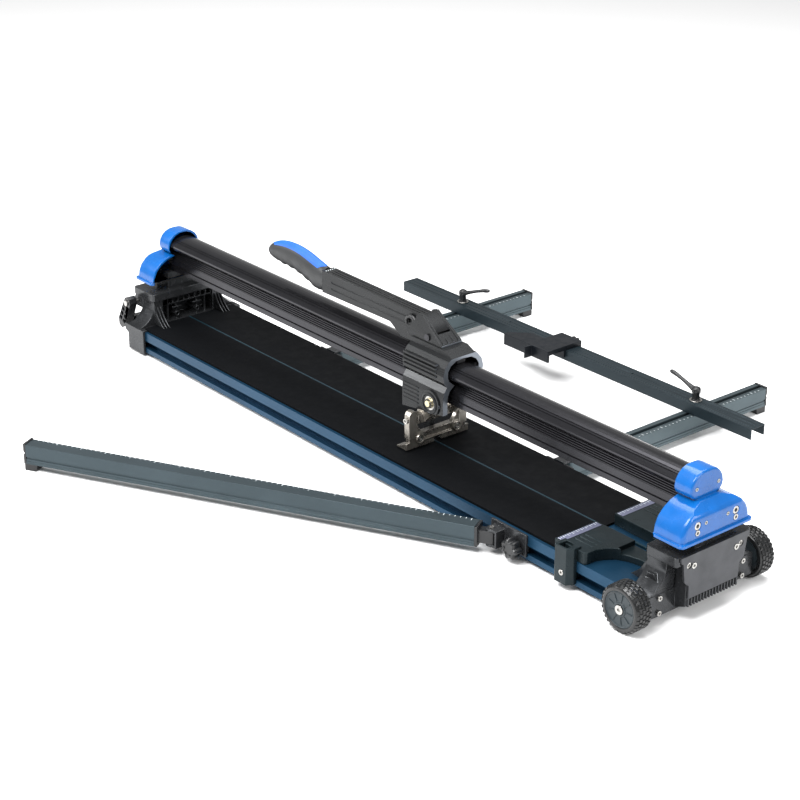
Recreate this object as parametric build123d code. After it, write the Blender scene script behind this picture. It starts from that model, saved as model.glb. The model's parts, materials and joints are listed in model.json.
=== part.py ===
from build123d import *
import math
import os

# Manual tile cutter, millimetres.
# X runs along the rail, +X towards the wheeled end.  Y runs across the base, +Y towards the fence.
# Z is up, and the origin is on the ground under the middle of the base.

# ---- driving dimensions ------------------------------------------------------------------------
BASE_FAR_END, BASE_NEAR_END = -742.0, 716.0
BASE_HALF_WIDTH = 117.5
BASE_BOTTOM = 9.0
BASE_TOP = 53.5
BASE_WALL = 3.0
SLOT_BOTTOM, SLOT_TOP = 19.0, 35.0
SLOT_LIP, SLOT_DEPTH, SLOT_UNDERCUT = 3.5, 15.0, 3.5
PAD_TOP = 58.0
PAD_GAP = 2.2                     # half the gap between the pads, where the ridge stands
PAD_EDGE = 111.0
PAD_FAR_END, PAD_NEAR_END = -700.0, 530.0
RIDGE_TOP = 58.6

RAIL_HALF_LENGTH = 738.0
RAIL_TOP = 233.8
RAIL_DOME_RADIUS = 43.8
RAIL_BOTTOM = 159.0
RAIL_HEAD_HALF = 31.0
RAIL_BODY_HALF = 22.0
RAIL_LIP_HALF = 23.0
RAIL_WAIST_HALF = 13.0
RAIL_WAIST_Z = 201.0
RIB_COUNT = 5

SUPPORT_INNER, SUPPORT_OUTER = 704.0, 769.0
SADDLE_OUTER = 747.0
COLUMN_OUTER = 746.0
FLANGE_BOTTOM, FLANGE_TOP = 108.0, 124.0
FLANGE_HALF = 86.0
BRACKET_INNER = 690.0
BRACKET_TOP = 57.0
BRACKET_HALF = 123.0

CAP_INNER, CAP_LOBE_FACE, CAP_FACE = 711.0, 747.0, 771.0
CAP_BOTTOM = 141.0
CAP_WALL = 3.5
CAP_ROUND = 8.0
CAP_HALF = 79.0

WHEEL_X = 723.0
WHEEL_RADIUS = 42.0
WHEEL_INNER_Y, WHEEL_OUTER_Y = 125.5, 162.0
HUB_RADIUS = 31.0
AXLE_RADIUS = 5.0

CARRIAGE_X0, CARRIAGE_X1 = 58.0, 170.0
CARRIAGE_TOP = 258.5
CARRIAGE_HALF = 47.0
PIVOT_X, PIVOT_Z = 136.0, 160.0   # the side pivots that carry the breaker foot
LEVER_PIVOT_X, LEVER_PIVOT_Z = 100.0, 268.0
LEVER_HALF = 14.5
NOSE_RADIUS = 17.2                # of the lever's nose, which closes the slot in the hood
FOOT_X = 97.0
SCORING_X, SCORING_Z, SCORING_RADIUS = 75.0, 71.5, 11.0

ARM_WIDTH, ARM_BOTTOM, ARM_TOP = 30.0, 14.0, 52.0
ARM_SLOT_HALF, ARM_SLOT_DEPTH, ARM_SLOT_UNDERCUT = 4.25, 11.0, 4.0
REAR_PIVOT_Y = 141.0
REAR_ARM_END = 660.0
NEAR_ARM_X, FAR_ARM_X = 298.0, -368.0
FRONT_PIVOT_X, FRONT_PIVOT_Y = 402.0, -137.0
FRONT_ARM_ANGLE = 29.0            # how far the front arm is swung out from the base
FRONT_ARM_LENGTH = 892.0

FENCE_Y = 474.0
FENCE_HALF = 19.0
FENCE_X0, FENCE_X1 = -542.0, 452.0
FENCE_BOTTOM, FENCE_TOP, FENCE_WALL = 52.3, 74.0, 2.5
STOP_X0, STOP_X1 = -92.0, -34.0

GAUGE_X0, GAUGE_X1 = 531.0, 603.0
GAUGE_TOP = 75.0
KNOB_X, KNOB_Z = 448.0, 27.0
HANDLE_PIVOT_X, HANDLE_PIVOT_Z = -765.0, 95.0
FIT = 0.05                        # radial clearance of pins in their holes
GAP = 0.3                         # clearance between bodies that move past each other

parts = {}


# ---- small builders ----------------------------------------------------------------------------
def block(x0, x1, y0, y1, z0, z1):
    return Pos((x0 + x1) / 2, (y0 + y1) / 2, (z0 + z1) / 2) * Box(x1 - x0, y1 - y0, z1 - z0)


def along_x(outline, x0, x1):
    """Extrude a sketch drawn as (y, z) from x0 to x1."""
    return extrude(Plane.YZ.offset(x0) * outline, amount=x1 - x0, dir=(1, 0, 0))


def along_y(outline, y0, y1):
    """Extrude a sketch drawn as (x, z) from y0 to y1."""
    plane = Plane(origin=(0, y0, 0), x_dir=(1, 0, 0), z_dir=(0, -1, 0))
    return extrude(plane * outline, amount=y1 - y0, dir=(0, 1, 0))


def along_z(outline, z0, z1):
    """Extrude a sketch drawn as (x, y) from z0 to z1."""
    return extrude(Plane.XY.offset(z0) * outline, amount=z1 - z0, dir=(0, 0, 1))


def outline(*points):
    return Polygon(*points, align=None)


def mirrored_outline(*half):
    """Close an outline given as its +y half, from top to bottom."""
    left = [(-y, z) for y, z in reversed(half) if y > 0]
    return outline(*half, *left)


def rod_x(x0, x1, y, z, r):
    return Pos((x0 + x1) / 2, y, z) * Rot(0, 90, 0) * Cylinder(r, x1 - x0)


def rod_y(y0, y1, x, z, r):
    return Pos(x, (y0 + y1) / 2, z) * Rot(90, 0, 0) * Cylinder(r, y1 - y0)


def rod_z(z0, z1, x, y, r):
    return Pos(x, y, (z0 + z1) / 2) * Cylinder(r, z1 - z0)


def fuse(pieces):
    whole = pieces[0]
    for piece in pieces[1:]:
        whole = whole + piece
    return whole


def far_copy(shape):
    """The same piece at the other end of the base."""
    return mirror(shape, about=Plane.YZ)


def rear_copy(shape):
    """The same piece at the other side of the base."""
    return mirror(shape, about=Plane.XZ)


def socket_screw(head_r, head_h, shank_r, shank_l):
    """Cap screw along +X: the head's outer face is at x = 0 and the shank points to -X."""
    head = rod_x(-head_h, 0, 0, 0, head_r)
    shank = rod_x(-head_h - shank_l, -head_h, 0, 0, shank_r)
    recess = along_x(RegularPolygon(head_r * 0.55, 6), -head_h * 0.6, 1)
    return head + shank - recess


def star_knob(radius, thickness, lobes):
    """Star grip along +Z from z = 0, with rounded lobes and a dished top."""
    body = Cylinder(radius * 0.8, thickness, align=(Align.CENTER, Align.CENTER, Align.MIN))
    for index in range(lobes):
        angle = math.radians(360 * index / lobes)
        x, y = radius * 0.72 * math.cos(angle), radius * 0.72 * math.sin(angle)
        body += rod_z(0, thickness, x, y, radius * 0.28)
    return body - rod_z(thickness - 2, thickness + 1, 0, 0, radius * 0.5)


# ---- base --------------------------------------------------------------------------------------
def side_slot():
    """T-slot cutter in the +y side of the base."""
    lip = block(-900, 900, BASE_HALF_WIDTH - SLOT_LIP, BASE_HALF_WIDTH + 1, SLOT_BOTTOM, SLOT_TOP)
    cavity = block(-900, 900, BASE_HALF_WIDTH - SLOT_DEPTH, BASE_HALF_WIDTH - SLOT_LIP,
                   SLOT_BOTTOM - SLOT_UNDERCUT, SLOT_TOP + SLOT_UNDERCUT)
    return lip + cavity


def make_base_profile():
    body = block(BASE_FAR_END, BASE_NEAR_END, -BASE_HALF_WIDTH, BASE_HALF_WIDTH, BASE_BOTTOM, BASE_TOP)
    body -= side_slot() + rear_copy(side_slot())
    inner_edge = BASE_HALF_WIDTH - SLOT_DEPTH - BASE_WALL
    cell_low, cell_high = BASE_BOTTOM + BASE_WALL, BASE_TOP - BASE_WALL
    cell_width = (inner_edge - 8 - 2 * BASE_WALL) / 3
    for index in range(3):
        y0 = 8 + index * (cell_width + BASE_WALL)
        cell = block(-900, 900, y0, y0 + cell_width, cell_low, cell_high)
        body -= cell + rear_copy(cell)
    body -= block(-900, 900, -PAD_GAP, PAD_GAP, BASE_TOP - 4, BASE_TOP + 1)
    return body


def make_pad(side):
    y0, y1 = sorted((side * PAD_GAP, side * PAD_EDGE))
    return block(PAD_FAR_END, PAD_NEAR_END, y0, y1, BASE_TOP, PAD_TOP)


def make_ridge():
    half = PAD_GAP - 0.2
    section = mirrored_outline((0.8, RIDGE_TOP), (half, RIDGE_TOP - 1.2), (half, BASE_TOP - 4))
    return along_x(section, PAD_FAR_END, 690)


def make_base_feet():
    """Rubber strips across the underside of the base."""
    feet = []
    for x in (-600, -300, 0, 300, 600):
        strip = outline((x - 13, 0), (x + 13, 0), (x + 16, BASE_BOTTOM), (x - 16, BASE_BOTTOM))
        feet.append(along_y(strip, -100, 100))
    return Compound(feet)


# ---- rail --------------------------------------------------------------------------------------
def rail_flank():
    """The ribbed wall between the waist and the rail's straight lower body, as (y, z) points."""
    points = [(RAIL_WAIST_HALF, RAIL_WAIST_Z)]
    end_z = 185.0
    dy = (RAIL_BODY_HALF - RAIL_WAIST_HALF) / RIB_COUNT
    dz = (end_z - RAIL_WAIST_Z) / RIB_COUNT
    for index in range(RIB_COUNT):
        y, z = RAIL_WAIST_HALF + dy * index, RAIL_WAIST_Z + dz * index
        points.append((y + dy, z + dz * 0.35))
        points.append((y + dy, z + dz * 0.75))
        points.append((y + dy * 0.6, z + dz))
    points.append((RAIL_BODY_HALF, end_z))
    return points


def rail_dome(y):
    """Height of the rail head's rounded top over the line at y."""
    return RAIL_TOP - RAIL_DOME_RADIUS + math.sqrt(RAIL_DOME_RADIUS ** 2 - y ** 2)


def rail_half():
    """The +y half of the rail's outline, from the crown down."""
    points = [(0, RAIL_TOP)]
    for y in (7, 13):
        points.append((y, rail_dome(y)))
    for groove in (19.0, 23.0):
        points.append((groove - 0.7, rail_dome(groove - 0.7)))
        points.append((groove - 0.7, rail_dome(groove) - 1.6))
        points.append((groove + 0.7, rail_dome(groove) - 1.6))
        points.append((groove + 0.7, rail_dome(groove + 0.7)))
    for y in (26.5, 29.0, 30.6):
        points.append((y, rail_dome(y)))
    points += [(RAIL_HEAD_HALF + 0.4, 219.5), (RAIL_HEAD_HALF + 0.2, 216.0), (29.0, 211.0), (25.0, 207.5)]
    points += rail_flank()
    points += [(RAIL_BODY_HALF, 172.5), (RAIL_BODY_HALF - 1.6, 172.5), (RAIL_BODY_HALF - 1.6, 170.5)]
    points += [(RAIL_LIP_HALF, 169.5), (RAIL_LIP_HALF, RAIL_BOTTOM + 1), (RAIL_LIP_HALF - 1, RAIL_BOTTOM)]
    return points


def make_rail():
    body = along_x(mirrored_outline(*rail_half()), -RAIL_HALF_LENGTH, RAIL_HALF_LENGTH)
    head_core = mirrored_outline((10, 229), (20, 225), (26.5, 219), (24, 212.5), (9, 208))
    body_core = mirrored_outline((9.5, 197), (17.5, 183), (17.5, 164))
    body -= along_x(head_core, -RAIL_HALF_LENGTH - 1, RAIL_HALF_LENGTH + 1)
    body -= along_x(body_core, -RAIL_HALF_LENGTH - 1, RAIL_HALF_LENGTH + 1)
    return body


# ---- end supports ------------------------------------------------------------------------------
def cheek_outline():
    """Column seen along the rail: straight under the flange, flared out to the base at the foot."""
    return outline((62, BRACKET_TOP), (62, FLANGE_BOTTOM), (84, FLANGE_BOTTOM), (82.5, 98), (85, 87),
                   (93, 75), (106, 64), (BRACKET_HALF - 1, BRACKET_TOP))


def support_casting(bottom, flange_outer):
    """Casting of the +x end: base saddle, two columns, flange and the pedestal under the rail."""
    saddle = block(BRACKET_INNER, SADDLE_OUTER, -BRACKET_HALF, BRACKET_HALF, bottom, BRACKET_TOP)
    column = along_x(cheek_outline(), SUPPORT_INNER, COLUMN_OUTER)
    column -= block(SUPPORT_INNER + 9, COLUMN_OUTER - 6, 66, 79, BRACKET_TOP, FLANGE_BOTTOM)
    flange = block(SUPPORT_INNER - 2, flange_outer, -FLANGE_HALF, FLANGE_HALF, FLANGE_BOTTOM, FLANGE_TOP)
    flange = fillet(flange.edges().filter_by(Axis.Z), 6)
    pedestal = block(716, 762, -38, 38, FLANGE_TOP - 1, RAIL_BOTTOM)
    pedestal -= block(722, 756, -30, 30, FLANGE_TOP + 3, RAIL_BOTTOM - 6)
    body = fuse([saddle, column, rear_copy(column), flange, pedestal])
    for y in (68.0, 75.0, 82.0):
        fin = outline((SUPPORT_INNER + 1, 97), (SUPPORT_INNER + 1, PAD_TOP + 0.3), (671, PAD_TOP + 0.3),
                      (679, 64), (690, 74), (699, 88))
        rib = along_y(fin, y - 1.3, y + 1.3)
        body += rib + rear_copy(rib)
    return body + support_lattice()


def support_lattice():
    """Ribbed beam under the flange, two screw bosses with their webs, and short posts."""
    x0, x1 = SUPPORT_INNER + 4, SUPPORT_INNER + 12
    ladder = block(x0, x1, -62.5, 62.5, 92, FLANGE_BOTTOM + 0.5)
    for index in range(9):
        y = -54.4 + 13.6 * index
        ladder -= block(x0 - 1, x1 + 1, y - 5.3, y + 5.3, 94.5, 105.5)
    floor = block(x0, SADDLE_OUTER, -62.5, 62.5, BASE_TOP + 0.1, BRACKET_TOP)
    pieces = [ladder, floor]
    for y in (-25, 25):
        pieces.append(block(x0 + 2, COLUMN_OUTER, y - 1.6, y + 1.6, BRACKET_TOP - 0.5, 92.5))
        pieces.append(block(x0 - 1, x0 + 2.5, y - 11, y + 11, 82, 85))
        pieces.append(rod_x(x0 - 2, COLUMN_OUTER, y, 69, 5.2))
    for y in (-46, 46):
        pieces.append(block(x0 + 2, x0 + 6, y - 2, y + 2, BRACKET_TOP - 0.5, 93))
    body = fuse(pieces)
    for y in (-25, 25):
        body -= rod_x(x0 - 3, x0 + 16, y, 69, 2.8)
    return body


def base_pocket(end):
    """Room in the saddle for the base's end and for the pads' ends, up to a far x."""
    pocket = block(0, end, -BASE_HALF_WIDTH - 0.1, BASE_HALF_WIDTH + 0.1, -1, BASE_TOP + 0.1)
    return pocket + block(0, SUPPORT_INNER - 2, -PAD_EDGE - 1, PAD_EDGE + 1, 0, PAD_TOP + 0.2)


def make_near_support():
    """The wheeled end: axle bosses, and a box under the face plate with a comb along its bottom."""
    body = support_casting(17.0, SUPPORT_OUTER)
    nose = outline((COLUMN_OUTER - 1, 20), (SUPPORT_OUTER, 31), (SUPPORT_OUTER, FLANGE_BOTTOM + 1),
                   (COLUMN_OUTER - 1, FLANGE_BOTTOM + 1))
    body += along_y(nose, -60, 60)
    body -= block(COLUMN_OUTER - 3, SUPPORT_OUTER - 5, -55, 55, 60, FLANGE_BOTTOM - 3)
    for index in range(17):
        y = -56 + 7 * index
        body += block(SUPPORT_OUTER - 1, SUPPORT_OUTER + 4, y - 1.7, y + 1.7, 31, 45.5)
    for side in (-1, 1):
        y0, y1 = sorted((side * (BASE_HALF_WIDTH - 9), side * (WHEEL_INNER_Y - GAP)))
        body += rod_y(y0, y1, WHEEL_X, WHEEL_RADIUS, 13)
        arm = outline((WHEEL_X - 12, 44), (WHEEL_X + 12, 44), (WHEEL_X + 20, 70), (WHEEL_X + 8, 84),
                      (WHEEL_X - 8, 84))
        a0, a1 = sorted((side * 84, side * 94))
        body += along_y(arm, a0, a1)
        body -= rod_y(side * 150 - 60, side * 150 + 60, WHEEL_X, WHEEL_RADIUS, AXLE_RADIUS + FIT)
        body -= rod_x(SUPPORT_OUTER - 4, SUPPORT_OUTER + 1, side * 49, 103, 3.2)
        for z in (24, 51):
            body -= rod_x(SADDLE_OUTER - 6, SADDLE_OUTER + 1, side * 97, z, 2.6)
    return body - base_pocket(BASE_NEAR_END + 0.2)


def make_far_support():
    """The plain end: lugs for the pull handle's pins and a lip over the saddle."""
    body = support_casting(4.5, 777)
    lip = outline((SADDLE_OUTER - 1, 38), (SADDLE_OUTER + 11, 43), (SADDLE_OUTER + 11, BRACKET_TOP),
                  (SADDLE_OUTER - 1, BRACKET_TOP))
    body += along_y(lip, -BRACKET_HALF, BRACKET_HALF)
    body += block(COLUMN_OUTER - 3, COLUMN_OUTER + 2, -66, 66, BRACKET_TOP - 1, FLANGE_BOTTOM + 1)
    body = far_copy(body - base_pocket(-BASE_FAR_END + 0.2))
    for side in (-1, 1):
        y0, y1 = sorted((side * 74, side * 86))
        lug = outline((-745, 84), (-745, FLANGE_BOTTOM + 1), (-770, FLANGE_BOTTOM + 1), (-776, 100), (-776, 90),
                      (-766, 84))
        body += along_y(lug, y0, y1)
    return body - rod_y(-90, 90, HANDLE_PIVOT_X, HANDLE_PIVOT_Z, 3.0)


def plate_outline():
    right = [(79, 124), (79, 116), (74, 112), (69, 79), (63, 73), (59, 70), (57.5, 46)]
    left = [(-y, z) for y, z in reversed(right)]
    return outline(*right, *left)


def make_face_plate():
    x0 = SUPPORT_OUTER
    body = along_x(plate_outline(), x0 + 0.02, x0 + 4)
    for side in (-1, 1):
        body -= rod_x(x0 - 1, x0 + 9, side * 60, 106, 5.6)
        body -= rod_x(x0 - 1, x0 + 9, side * 49, 103, 3.2)
        body -= rod_x(x0 + 1.4, x0 + 9, side * 49, 103, 5.6)
    return body


# ---- rail caps ---------------------------------------------------------------------------------
LOBE = [(0, 245), (12, 244.2), (22, 240.5), (30, 234), (35.5, 225.5), (37.7, 215), (36.5, 208), (32, 202),
        (25, 198), (19, 190)]
SHOULDER = [(24, 199), (45, 193), (60, 184), (71, 173), (77, 160), (CAP_HALF, 148)]


def inset_outline(half, inset, floor):
    """Half outline moved in by the wall thickness and closed at the floor."""
    points = []
    for y, z in half:
        points.append((max(0.0, y - inset), z - (inset if z > 140 else 0)))
    return mirrored_outline(*points, (points[-1][0], floor))


def round_front(shape, radius, floor):
    """Round the edges of the +x face that lie above the floor."""
    front = shape.faces().sort_by(Axis.X)[-1].edges()
    return fillet([edge for edge in front if edge.center().Z > floor + 1], radius)


def cap_hollow():
    """Inside of the cap, which stays a wall's thickness under the sloping front."""
    lobe = along_x(inset_outline(LOBE, CAP_WALL, 160), CAP_INNER - 2, CAP_LOBE_FACE - CAP_WALL)
    body = along_x(inset_outline(SHOULDER, CAP_WALL, CAP_BOTTOM - 1), CAP_INNER - 2, CAP_FACE - CAP_WALL)
    under_slope = outline((CAP_INNER - 2, CAP_BOTTOM - 2), (CAP_INNER - 2, 200), (744, 200), (762, 182),
                          (CAP_FACE - CAP_WALL, 172), (CAP_FACE - CAP_WALL, CAP_BOTTOM - 2))
    return lobe + (body & along_y(under_slope, -CAP_HALF, CAP_HALF))


def make_near_cap():
    """Moulded cover over the rail's end: round lobe over the head, wide shoulders over the flange."""
    lobe = along_x(inset_outline(LOBE, 0, 170), CAP_INNER, CAP_LOBE_FACE)
    body = along_x(inset_outline(SHOULDER, 0, CAP_BOTTOM), CAP_INNER, CAP_FACE)
    slope = outline((742, 216), (750, 203), (768, 187), (772, 178), (790, 178), (790, 216))
    body = round_front(body, CAP_ROUND, CAP_BOTTOM) - along_y(slope, -CAP_HALF - 1, CAP_HALF + 1)
    rim = block(CAP_INNER - 1, CAP_FACE + 4, -CAP_HALF - 4, CAP_HALF + 4, CAP_BOTTOM, CAP_BOTTOM + 5)
    rim = fillet(rim.edges().filter_by(Axis.Z), 8)
    shell = round_front(lobe, CAP_ROUND / 2, 170) + body + rim - cap_hollow()
    for side in (-1, 1):
        shell -= rod_x(CAP_LOBE_FACE - 5, CAP_LOBE_FACE + 1, side * 25, 217, 3.4)
        shell -= rod_x(CAP_FACE - 8, CAP_FACE + 3, side * 44, 169, 7.2)
        shell -= rod_x(CAP_FACE - 8, CAP_FACE + 3, side * 44, 157, 5.3)
        shell -= rod_x(CAP_FACE - 8, CAP_FACE + 3, side * 25, 169, 3.4)
    return shell


# ---- fasteners of the frame --------------------------------------------------------------------
def end_screws():
    """Small socket screws of one end: cap lobe, cap face and face plate."""
    small = socket_screw(3.2, 4, 1.8, 4)
    middle = socket_screw(5.0, 5, 2.9, 6)
    screws = []
    for side in (-1, 1):
        screws.append(Pos(CAP_LOBE_FACE + 0.5, side * 25, 217) * small)
        screws.append(Pos(CAP_FACE, side * 25, 169) * small)
        screws.append(Pos(CAP_FACE + 0.5, side * 44, 157) * middle)
    return screws


def make_socket_screws():
    screws = end_screws()
    screws += [far_copy(screw) for screw in end_screws()]
    plate = socket_screw(5.2, 3.4, 3.0, 4)
    saddle = socket_screw(4.6, 3.6, 2.5, 4)
    for side in (-1, 1):
        screws.append(Pos(SUPPORT_OUTER + 4.9, side * 49, 103) * plate)
        for z in (24, 51):
            screws.append(Pos(SADDLE_OUTER + 3.7, side * 97, z) * saddle)
    return Compound(screws)


def make_rail_bolts():
    """Large bolts through the castings into the rail: their heads sit in the caps' wells."""
    bolt = socket_screw(6.6, 8, 4, 4)
    bolts = []
    for side in (-1, 1):
        one = Pos(CAP_FACE - 0.8, side * 44, 169) * bolt
        bolts += [one, far_copy(one)]
        bolts.append(Pos(SUPPORT_OUTER + 2.6, side * 60, 106) * socket_screw(5.4, 2.5, 3, 0.1))
    return Compound(bolts)


# ---- wheels ------------------------------------------------------------------------------------
def at_wheel(shape, side):
    """Place a shape that was drawn along +Z from 0, so it starts at the wheel's inner face."""
    turned = Rot(-90, 0, 0) * shape if side > 0 else Rot(90, 0, 0) * shape
    return Pos(WHEEL_X, side * WHEEL_INNER_Y, WHEEL_RADIUS) * turned


def make_tyre(side):
    width = WHEEL_OUTER_Y - WHEEL_INNER_Y
    section = outline((HUB_RADIUS, 1), (WHEEL_RADIUS - 3, 1), (WHEEL_RADIUS, 6), (WHEEL_RADIUS, width - 6),
                      (WHEEL_RADIUS - 3, width - 1), (HUB_RADIUS, width - 1))
    ring = revolve(Plane.XZ * section, axis=Axis.Z)
    return at_wheel(ring, side)


def make_hub(side):
    width = WHEEL_OUTER_Y - WHEEL_INNER_Y
    section = outline((AXLE_RADIUS + FIT, 0), (13, 0), (13, 4), (HUB_RADIUS - 5, 6), (HUB_RADIUS, 2),
                      (HUB_RADIUS, width - 2), (HUB_RADIUS - 5, width - 1.5), (13, width - 4),
                      (AXLE_RADIUS + FIT, width - 4))
    ring = revolve(Plane.XZ * section, axis=Axis.Z)
    return at_wheel(ring, side)


def make_axle_bolts():
    """Shoulder bolts that hold the wheels on the near support."""
    length = WHEEL_OUTER_Y - WHEEL_INNER_Y
    start = BASE_HALF_WIDTH - WHEEL_INNER_Y + 0.5
    shank = Cylinder(AXLE_RADIUS, length - start - 3.6, align=(Align.CENTER, Align.CENTER, Align.MIN))
    head = Cylinder(8, 3.2, align=(Align.CENTER, Align.CENTER, Align.MIN))
    recess = extrude(RegularPolygon(3.4, 6), amount=4)
    bolt = Pos(0, 0, start) * shank + Pos(0, 0, length - 3.7) * head - Pos(0, 0, length - 2.5) * recess
    return Compound([at_wheel(bolt, 1), at_wheel(bolt, -1)])


# ---- end gauge ---------------------------------------------------------------------------------
def gauge_outline():
    """Plan of the front gauge plate: a wide head that narrows in a curve towards the near support."""
    return outline((GAUGE_X0, -116), (GAUGE_X0, -22), (GAUGE_X0 + 38, -20), (700, -20), (700, -48), (660, -49),
                   (638, -54), (620, -64), (609, -78), (GAUGE_X1, -94), (GAUGE_X1, -112), (GAUGE_X1 - 4, -116))


def make_gauge_plate():
    body = along_z(gauge_outline(), BASE_TOP + 0.02, GAUGE_TOP)
    body -= block(620, 701, -60, 0, BASE_TOP + 12, GAUGE_TOP + 1)
    for index in range(3):
        y = -92 + 11 * index
        body -= block(553, 592, y - 1.2, y + 1.2, GAUGE_TOP - 1, GAUGE_TOP + 1)
    body -= block(GAUGE_X0 + 2, GAUGE_X0 + 17, -114, -24, GAUGE_TOP - 0.6, GAUGE_TOP + 1)
    return body


def make_stop_block():
    """Clamp block on the front side of the base, with its foot hooked in the side slot."""
    plan = outline((547, -117.7), (547, -130), (551, -134.5), (577, -134.5), (585, -124), (585, -117.7))
    body = along_z(plan, 12, 79)
    body += block(547, 585, -117.7, -108, GAUGE_TOP + 0.05, 79)
    body += block(552, 580, -118, -107, SLOT_BOTTOM + 0.5, SLOT_TOP - 0.5)
    body -= block(555, 574, -131, -112, 70, 80)
    body -= rod_y(-136, -130, 566, 32, 5.2)
    body -= rod_y(-131, -106, 566, 32, 3.05)
    return body


def make_stop_screw():
    screw = Rot(0, 0, -90) * socket_screw(5, 4.4, 3, 20)
    return Pos(566, -134.6, 32) * screw


# ---- carriage ----------------------------------------------------------------------------------
def carriage_outline():
    outer = [(0, CARRIAGE_TOP), (27, CARRIAGE_TOP), (27, 250), (34, 245), (43, 234), (CARRIAGE_HALF, 220),
             (45, 207), (38, 198), (45, 188), (CARRIAGE_HALF, 178), (CARRIAGE_HALF, 125)]
    inner = [(36.5, 125), (36.5, 176), (32, 188), (20.5, 197.5), (33, 208), (36.0, 216), (36, 226),
             (30, 236), (18, 243), (0, 244.6)]
    right = outer + inner
    left = [(-y, z) for y, z in reversed(right) if y > 0]
    return outline(*right, *left)


def make_carriage():
    body = along_x(carriage_outline(), CARRIAGE_X0, CARRIAGE_X1)
    for side in (-1, 1):
        y0, y1 = sorted((side * 37, side * 50))
        body += rod_y(y0, y1, PIVOT_X, PIVOT_Z, 25)
        for z in (236, 228.5, 221, 213.5, 177, 169.5, 162, 154.5, 147):
            length = 92 if z > 200 else 44
            f0, f1 = sorted((side * 41, side * (CARRIAGE_HALF + 1.6)))
            body += block(CARRIAGE_X0 + 3, CARRIAGE_X0 + length, f0, f1, z - 1.5, z + 1.5)
    slope = outline((142, 262), (CARRIAGE_X1 + 1, 248.5), (CARRIAGE_X1 + 1, 262))
    body -= along_y(slope, -60, 60)
    underside = outline((CARRIAGE_X0 - 1, 120), (CARRIAGE_X0 - 1, 129.5), (81, 133), (112, 138),
                        (CARRIAGE_X1 + 1, 145.5), (CARRIAGE_X1 + 1, 120))
    body -= along_y(underside, -60, 60)
    body -= rod_y(-60, 60, PIVOT_X, PIVOT_Z, 7.0)
    for side in (-1, 1):
        y0, y1 = sorted((side * 42, side * 60))
        body -= rod_y(y0, y1, PIVOT_X, PIVOT_Z, 13.0)
    return body


def make_handle_bracket():
    """Hood on top of the carriage: two cheeks that hold the lever, joined by a sloping ribbed front."""
    cheek = outline((44, CARRIAGE_TOP), (138, CARRIAGE_TOP), (138, 262), (84, 301), (74, 304), (66, 301), (60, 288),
                    (44, 268))
    body = along_y(cheek, -24, 24)
    body -= block(40, LEVER_PIVOT_X + NOSE_RADIUS + 0.8, -LEVER_HALF - GAP, LEVER_HALF + GAP, 250, 310)
    body -= rod_y(-30, 30, LEVER_PIVOT_X, LEVER_PIVOT_Z, 4.0)
    taper = along_x(outline((24.1, 268), (19.0, 306), (40, 306), (40, 268)), 40, 140)
    body -= taper + rear_copy(taper)
    for y in (-17.5, -6, 6, 17.5):
        start = LEVER_PIVOT_X + NOSE_RADIUS + 2.5 if abs(y) < LEVER_HALF + 1 else 80
        height = 301 - (start - 84) * 0.722
        ridge = outline((start, height - 2), (137, 262.8), (137, 264.8), (start, height + 1.6))
        body += along_y(ridge, y - 1.2, y + 1.2)
    return body


def make_guide_pads():
    """Nylon pads pressed in the carriage that run on the rail head and under its flanks."""
    pads = []
    for x in (CARRIAGE_X0 + 6, CARRIAGE_X1 - 30):
        for side in (-1, 1):
            y0, y1 = sorted((side * (RAIL_HEAD_HALF + 0.4 + GAP), side * 36.0))
            pads.append(block(x, x + 24, y0, y1, 217, 225))
        pads.append(block(x, x + 24, -9, 9, RAIL_TOP + GAP, 243.7))
    return Compound(pads)


def make_pivot_bearings():
    bearings = []
    for side in (-1, 1):
        y0, y1 = sorted((side * 42.2, side * 49.2))
        ring = rod_y(y0, y1, PIVOT_X, PIVOT_Z, 13.0)
        bearings.append(ring - rod_y(y0 - 1, y1 + 1, PIVOT_X, PIVOT_Z, 5.0))
    return Compound(bearings)


def make_pivot_bolts():
    """Stub bolts through the bearings: the breaker foot's yoke turns on their inner ends."""
    bolts = []
    for side in (-1, 1):
        y0, y1 = sorted((side * 26.5, side * 51))
        h0, h1 = sorted((side * 49.2, side * 52.2))
        w0, w1 = sorted((side * 52.2, side * 55))
        shank = rod_y(y0, y1, PIVOT_X, PIVOT_Z, 5.0)
        bolts.append(shank + rod_y(h0, h1, PIVOT_X, PIVOT_Z, 9.5) + rod_y(w0, w1, PIVOT_X, PIVOT_Z, 6))
    return Compound(bolts)


def make_lever_axle():
    pin = rod_y(-25.5, 25.5, LEVER_PIVOT_X, LEVER_PIVOT_Z, 4.0)
    for side in (-1, 1):
        y0, y1 = sorted((side * 24.0, side * 26.5))
        pin += rod_y(y0, y1, LEVER_PIVOT_X, LEVER_PIVOT_Z, 6.5)
    return pin


def make_latch_hooks():
    """Two transport latch hooks on the rear edges of the lever bracket."""
    hooks = []
    for side in (-1, 1):
        y0, y1 = sorted((side * 15.5, side * 21.5))
        arm = outline((61, 275), (61, 290), (46, 297), (36, 292), (38, 279), (45, 276), (45, 282), (50, 286),
                      (56, 280))
        hooks.append(along_y(arm, y0, y1) - make_handle_bracket())
    return Compound(hooks)


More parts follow.
